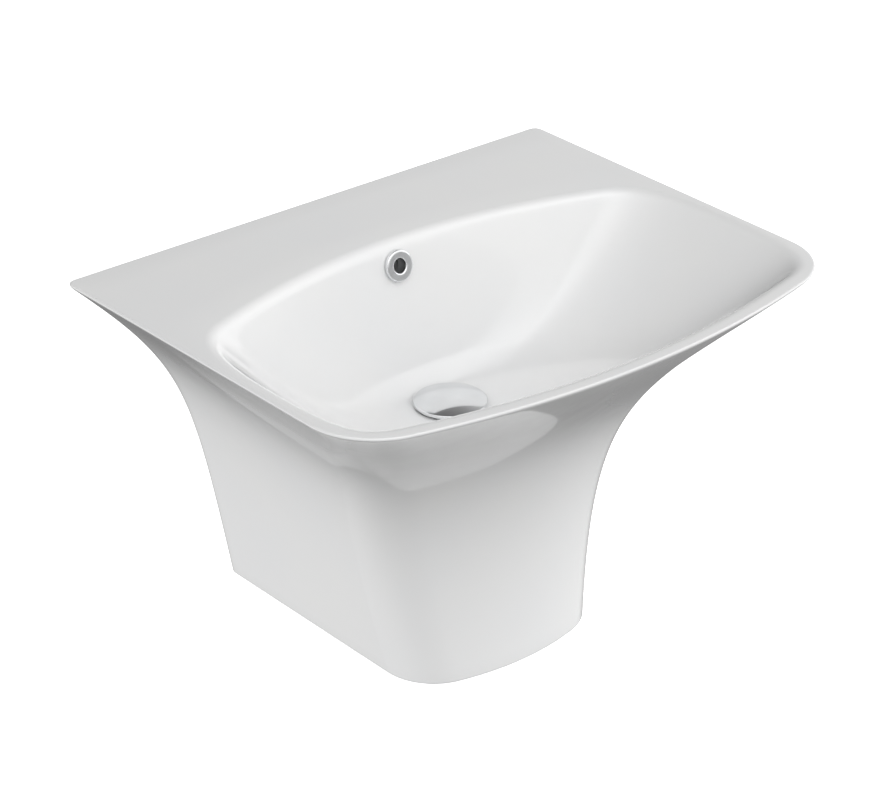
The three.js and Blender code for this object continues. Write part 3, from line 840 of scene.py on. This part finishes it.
def waste_body():
    seat = Seat("waste_body")
    tube, bore = WASTE["tube"], WASTE["bore"]
    flange = seat.high - 2.4
    end = seat.low
    rows = [(bore, end), (tube - 0.8, end), (tube - 0.8, end + 0.5)]
    rows += thread(tube - 0.9, tube, end + 0.5, flange - 26, 2)
    rows += [(tube - 0.9, flange - 26), (tube, flange - 25), (tube, flange)]
    rows += soften([
        (tube, flange), (seat.radius, flange), (seat.radius, seat.high), (22.5, seat.high),
        (bore, seat.high - 5), (bore, end),
    ], 0.7, closed=False)[1:-1]
    body = turned("waste_body_fine", rows, 96, place=seat.place, closed=True)
    tools = []
    for i in range(4):
        bm = bmesh.new()
        bmesh.ops.create_cube(bm, size=1)
        bmesh.ops.scale(bm, vec=(12, 14, 11), verts=bm.verts)
        bmesh.ops.bevel(bm, geom=bm.edges[:], offset=2, segments=3, affect="EDGES", profile=0.5)
        spin = Matrix.Rotation(i * math.pi / 2, 4, "Z") @ Matrix.Translation((0, tube, 0))
        bm.transform(Matrix.Translation((0, DRAIN_Y, height(WASTE_WINDOW))) @ spin)
        tools.append(mesh_object(f"window_{i}", bm))
    combine(body, tools)
    low, high = height(SPIDER["bottom"]), height(SPIDER["top"])
    inner, outer, arms = SPIDER["inner"], SPIDER["outer"], SPIDER["arms"]
    hub = turned("hub", ring_rows(inner, outer, low, high, 0.4), place=seat.place, closed=True)
    webs = []
    for i in range(arms):
        length = bore + 1 - outer + 1
        bm = bmesh.new()
        bmesh.ops.create_cube(bm, size=1)
        bmesh.ops.scale(bm, vec=(2.5, length, high - low - 2), verts=bm.verts)
        spin = Matrix.Rotation((2 * i + 0.5) * math.pi / arms, 4, "Z")
        reach = Matrix.Translation((0, outer - 1 + length / 2, 0))
        bm.transform(Matrix.Translation((0, DRAIN_Y, (low + high) / 2)) @ spin @ reach)
        webs.append(mesh_object(f"web_{i}", bm))
    combine(body, [hub, *webs], "UNION")
    stands_for(body, "waste_body")


def waste_rings():
    seal = Seat("waste_seal")
    rows = ring_rows(WASHER_BORE, seal.radius, seal.low, seal.high, 0.6)
    turned_piece("waste_seal", rows, seal.place)
    taper = Seat("waste_taper_washer")
    rows = soften([
        (WASHER_BORE, taper.low), (taper.radius, taper.low), (taper.radius, taper.low + 2),
        (26, taper.high), (WASHER_BORE, taper.high),
    ], 0.8)
    turned_piece("waste_taper_washer", rows, taper.place)
    slip = Seat("waste_slip_washer")
    rows = ring_rows(WASHER_BORE, slip.radius, slip.low, slip.high, 0.3)
    turned_piece("waste_slip_washer", rows, slip.place)


def hex_nut(node, axis, bore):
    """A nut with turned chamfers. Its rows are close at the ends, where the chamfers are."""
    seat = Seat(node, axis)
    low, high = seat.low, seat.high
    tall = high - low
    rows = [(bore, low + 0.8), (bore + 0.8, low)]
    rows.append((seat.radius * 0.8, low))
    for share in (0, 0.06, 0.12, 0.18, 0.25, 0.5, 0.75, 0.82, 0.88, 0.94, 1):
        rows.append((seat.radius, low + tall * share))
    rows += [(seat.radius * 0.8, high), (bore + 0.8, high), (bore, high - 0.8)]
    shape = hexagonal(seat.radius, low, high)
    turned_piece(node, rows, seat.place, shape=shape, angle=20)


def cartridge():
    seat = Seat("cartridge_body")
    neck, chamber, roof = 4.5, 6.8, height(COLLAR_TOP) + PLUG_LIFT + GAP
    floor = seat.low + 3
    rows = soften([
        (0, seat.low), (seat.radius, seat.low), (seat.radius, seat.high), (neck, seat.high),
        (neck, roof), (chamber, roof), (chamber, floor), (0, floor),
    ], 0.5, closed=False)
    turned_piece("cartridge_body", rows, seat.place, closed=False)

    coil = Seat("cartridge_spring")
    wire, turns, sides = 0.5, 5, 10
    steps = turns * 40
    radius = coil.radius - wire
    bm = bmesh.new()
    rings = []
    for k in range(steps + 1):
        share = k / steps
        angle = 2 * math.pi * turns * share
        climb = mix(coil.low + wire, coil.high - wire, share)
        centre = Vector((radius * math.cos(angle), radius * math.sin(angle), climb))
        out = Vector((math.cos(angle), math.sin(angle), 0))
        ring = []
        for j in range(sides):
            side = 2 * math.pi * j / sides
            offset = out * math.cos(side) + Vector((0, 0, math.sin(side)))
            ring.append(bm.verts.new(centre + offset * wire))
        rings.append(ring)
    for a, b in zip(rings, rings[1:]):
        for j in range(sides):
            bm.faces.new((a[j], a[(j + 1) % sides], b[(j + 1) % sides], b[j]))
    bm.faces.new(rings[0])
    bm.faces.new(rings[-1])
    bm.transform(coil.place)
    stands_for(mesh_object("cartridge_spring_fine", bm), "cartridge_spring", 60)


# ---------------------------------------------------------------- trap
def plain_ring(node, axis, inner, soft=0.5):
    seat = Seat(node, axis)
    rows = ring_rows(inner, seat.radius, seat.low, seat.high, soft)
    turned_piece(node, rows, seat.place)


def union_nut(node, axis, bore, mouth_is_low):
    """A ribbed plastic nut: a wide bore over the thread and a narrow lip round the pipe."""
    seat = Seat(node, axis)
    lip, lip_thick, collar = PIPE["hole"], 3, 2.5
    mouth, end = (seat.low, seat.high) if mouth_is_low else (seat.high, seat.low)
    step = 1 if mouth_is_low else -1
    outer = seat.radius
    corners = [
        (bore, mouth), (outer, mouth), (outer, mouth + step * collar),
        (outer - 0.4, mouth + step * (collar + 0.3)), (outer - 0.4, end - step * 2.5),
        (outer - 2.5, end), (lip, end), (lip, end - step * lip_thick),
        (bore, end - step * lip_thick),
    ]
    rows = soften(corners, 0.8)
    grip = sorted((mouth + step * (collar + 0.5), end - step * 0.5))
    shape = beyond(seat.radius - 4, ribbed(16, 1.4, *grip))
    turned_piece(node, grip_rows(rows, lip + 5), seat.place, 192, shape=shape, angle=35)


def dip_tube():
    seat = Seat("trap_dip_tube")
    pipe, bore = PIPE["outer"], PIPE["bore"]
    under = seat.high - 2.2
    rows = soften([
        (bore, seat.low), (pipe, seat.low), (pipe, under), (seat.radius, under),
        (seat.radius, seat.high), (bore, seat.high),
    ], 0.5)
    turned_piece("trap_dip_tube", rows, seat.place)


def trap_body():
    low, high = box("trap_body")
    drain = Matrix.Translation((0, DRAIN_Y, 0))
    bottle, inner, neck = 28, 25, 21
    pipe_hole, bore = PIPE["hole"], PIPE["bore"]
    shoulder = high.z - 16
    rows = soften([
        (0, low.z), (bottle, low.z), (bottle, low.z + 11.6), (bottle - 0.9, low.z + 12.4),
        (bottle - 0.9, shoulder - 3), (neck, shoulder), (neck - 0.9, shoulder + 1.5),
        (neck - 0.9, shoulder + 5),
    ], 1.6, closed=False)
    rows += thread(neck - 0.9, neck, shoulder + 5, high.z - 1, 2.2)
    rows += [(neck - 0.9, high.z - 1), (neck - 1.5, high.z), (0, high.z)]
    body = turned("trap_body_fine", rows, 128, place=drain)

    outlet_z = height(OUTLET_DROP)
    along = Matrix.Translation((0, DRAIN_Y, outlet_z)) @ AXES["+Y"]
    end, stub = high.y - DRAIN_Y, 20
    rows = [(0, 10), (stub - 0.9, 10), (stub - 0.9, end - 13)]
    rows += thread(stub - 0.9, stub, end - 13, end - 1, 2.2)
    rows += [(stub - 0.9, end - 1), (stub - 1.5, end), (0, end)]
    root = soften([(0, 12), (stub + 6, 12), (stub + 4, 26.5), (stub - 0.5, 31), (0, 31)], 3, False)
    collar = turned("stub_root", root, 96, place=along)
    combine(body, [turned("stub", rows, 96, place=along), collar], "UNION")

    hollow = soften([(0, low.z - 1), (inner, low.z - 1), (inner, shoulder - 4), (0, shoulder - 4)],
                    2, closed=False)
    bores = [
        turned("bottle_hollow", hollow, 96, place=drain),
        turned("neck_hole", [(0, shoulder - 5), (pipe_hole, shoulder - 5),
                             (pipe_hole, high.z - 1), (pipe_hole + 1, high.z + 0.5),
                             (0, high.z + 0.5)], 96, place=drain),
        turned("outlet_bore", [(0, 10), (bore, 10), (bore, end), (0, end)], 96, place=along),
        turned("outlet_socket", [(0, 34), (pipe_hole, 34), (pipe_hole, end - 1),
                                 (pipe_hole + 1, end + 0.5), (0, end + 0.5)], 96, place=along),
    ]
    combine(body, bores)
    stands_for(body, "trap_body", 30)


def trap_cup():
    seat = Seat("trap_cup")
    low, high, grip = seat.low, seat.high, seat.radius
    grip_low, ledge, floor = height(CUP["grip"]), height(CUP["ledge"]), low + 3
    bore, inner, outer = 28.5, 24.5, 30
    corners = [
        (0, low + 1), (12, low + 1), (14, low), (outer - 4, low), (outer, low + 4),
        (outer, grip_low), (grip, grip_low + 2), (grip, high), (bore, high), (bore, ledge),
        (inner, ledge), (inner, floor), (0, floor),
    ]
    rows = soften(corners, 1.2, closed=False)
    shape = beyond(outer + 0.5, ribbed(20, 1.6, grip_low + 1, high - 1))
    rows = grip_rows(rows, outer + 1)
    turned_piece("trap_cup", rows, seat.place, 240, closed=False, shape=shape, angle=35)


def wall_pipe():
    seat = Seat("wall_pipe", "+Y")
    bore, hole = PIPE["bore"], PIPE["hole"]
    rows = soften([
        (bore, seat.low), (seat.radius, seat.low), (seat.radius, seat.high - 2),
        (seat.radius - 0.5, seat.high), (bore, seat.high),
    ], 0.4)
    turned_piece("wall_pipe", rows, seat.place)
    seat = Seat("wall_rosette", "+Y")
    rows = soften([
        (hole, seat.high), (seat.radius, seat.high), (seat.radius, seat.high - 1.7),
        (30, seat.low + 3), (20, seat.low), (hole, seat.low),
    ], 1.6)
    turned_piece("wall_rosette", rows, seat.place, 128)


# ---------------------------------------------------------------- wall fixings
def fixing(side):
    stud = Seat("fixing_stud_" + side, "-Y")
    radius = stud.radius
    core = radius - 0.7
    rows = [(0, stud.low), (1.2, stud.low + 0.8)]
    rows += thread(core - 0.6, radius, stud.low + 8, -2, 3.4)
    rows += [(core - 0.6, -2), (core, 0)]
    rows += thread(core, radius, 2, stud.high - 1, 1.5)
    rows += [(core, stud.high - 0.8), (core - 0.7, stud.high), (0, stud.high)]
    turned_piece("fixing_stud_" + side, rows, stud.place, 72, closed=False)

    sleeve = Seat("fixing_sleeve_" + side, "-Y")
    inner, barrel, flange = radius + 0.3, 6.7, 2.5
    rows = soften([
        (inner, sleeve.low), (barrel, sleeve.low), (barrel, sleeve.high - flange),
        (sleeve.radius, sleeve.high - flange), (sleeve.radius, sleeve.high),
        (inner, sleeve.high),
    ], 0.4)
    turned_piece("fixing_sleeve_" + side, rows, sleeve.place)
    plain_ring("fixing_washer_" + side, "-Y", inner, 0.4)
    hex_nut("fixing_nut_" + side, "-Y", inner)


# ---------------------------------------------------------------- stage
AIM = Vector((-0.0057, -0.2001, -0.0522))
CAMERA = {"azimuth": -39.98, "elevation": 27.63, "distance": 2.9577, "lens": 130.05}
RIM_ABOVE_FLOOR = 0.85
FLOOR_REACH = 9000
# Azimuth and elevation as seen from the front, and how bright each soft box is.
SOFT_BOXES = (
    (0, 50, 1.42),
    (-40, 50, 0.79),
    (-120, 50, 0.45),
    (40, 10, 0.88),
    (80, 10, 0.92),
    (120, 10, 0.60),
    (138, 60, 0.05),
    (-80, 10, 0.65),
    (0, -30, 0.36),
    (80, -30, 0.60),
    (-80, -30, 0.64),
    (-120, -30, 0.69),
    (-160, -30, 0.67),
)
SOFT_BOX_FALLOFF = 5


def add_camera():
    data = bpy.data.cameras.new("camera")
    data.lens = CAMERA["lens"]
    data.sensor_width = 36
    camera = bpy.data.objects.new("camera", data)
    outward = direction(CAMERA["azimuth"], CAMERA["elevation"])
    camera.location = AIM + CAMERA["distance"] * outward
    camera.rotation_euler = outward.to_track_quat("Z", "Y").to_euler()
    bpy.context.scene.collection.objects.link(camera)
    bpy.context.scene.camera = camera


def add_floor():
    bm = bmesh.new()
    bmesh.ops.create_grid(bm, x_segments=1, y_segments=1, size=FLOOR_REACH)
    floor = mesh_object("floor", bm)
    floor.location.z = RIM_Z * MM - RIM_ABOVE_FLOOR
    nodes = Nodes("pale_floor")
    tone = nodes.between(nodes.noise(0.7, 2), 0, 1)
    nodes.feed("Base Color", nodes.blend(tone, (0.93, 0.93, 0.93), (0.95, 0.95, 0.95)))
    nodes.set(Roughness=0.9, Emission_Color=(1, 1, 1, 1), Emission_Strength=0.6)
    floor.data.materials.append(nodes.material)
    floor.visible_diffuse = False
    floor.visible_glossy = False


def direction(azimuth, elevation):
    """Points away from the basin, to an azimuth and elevation as seen from the front."""
    a, e = math.radians(azimuth), math.radians(elevation)
    return Vector((math.sin(a) * math.cos(e), -math.cos(a) * math.cos(e), math.sin(e)))


def math_node(tree, operation, first, second):
    node = tree.nodes.new("ShaderNodeMath")
    node.operation = operation
    for socket, value in zip(node.inputs, (first, second)):
        if isinstance(value, (int, float)):
            socket.default_value = value
        else:
            tree.links.new(value, socket)
    return node.outputs["Value"]


def add_world():
    """A dark studio with large soft boxes: each is a glow that fades evenly from its middle."""
    world = bpy.data.worlds.new("studio")
    world.use_nodes = True
    tree = world.node_tree
    ray = tree.nodes.new("ShaderNodeTexCoord").outputs["Generated"]
    total = None
    for azimuth, elevation, strength in SOFT_BOXES:
        facing_it = tree.nodes.new("ShaderNodeVectorMath")
        facing_it.operation = "DOT_PRODUCT"
        facing_it.inputs[1].default_value = direction(azimuth, elevation)
        tree.links.new(ray, facing_it.inputs[0])
        front = math_node(tree, "MAXIMUM", facing_it.outputs["Value"], 0)
        fade = math_node(tree, "POWER", front, SOFT_BOX_FALLOFF)
        glow = math_node(tree, "MULTIPLY", fade, strength)
        total = glow if total is None else math_node(tree, "ADD", total, glow)
    background = tree.nodes["Background"]
    background.inputs["Color"].default_value = (1, 1, 1, 1)
    tree.links.new(total, background.inputs["Strength"])
    bpy.context.scene.world = world


basin_body()
overflow_fitting()
plug()
waste_body()
waste_rings()
hex_nut("waste_locknut", "+Z", WASHER_BORE)
cartridge()
plain_ring("tail_washer", "+Z", PIPE["bore"])
union_nut("tail_nut", "+Z", 21.1, mouth_is_low=False)
dip_tube()
plain_ring("trap_inlet_seal", "+Z", PIPE["hole"])
union_nut("trap_inlet_nut", "+Z", 21.3, mouth_is_low=True)
trap_body()
trap_cup()
plain_ring("trap_cup_seal", "+Z", 24.5)
plain_ring("trap_outlet_seal", "+Y", PIPE["hole"])
union_nut("trap_outlet_nut", "+Y", 20.3, mouth_is_low=True)
wall_pipe()
for side in ("left", "right"):
    fixing(side)

add_camera()
add_floor()
add_world()
bpy.context.scene.view_settings.view_transform = "Standard"
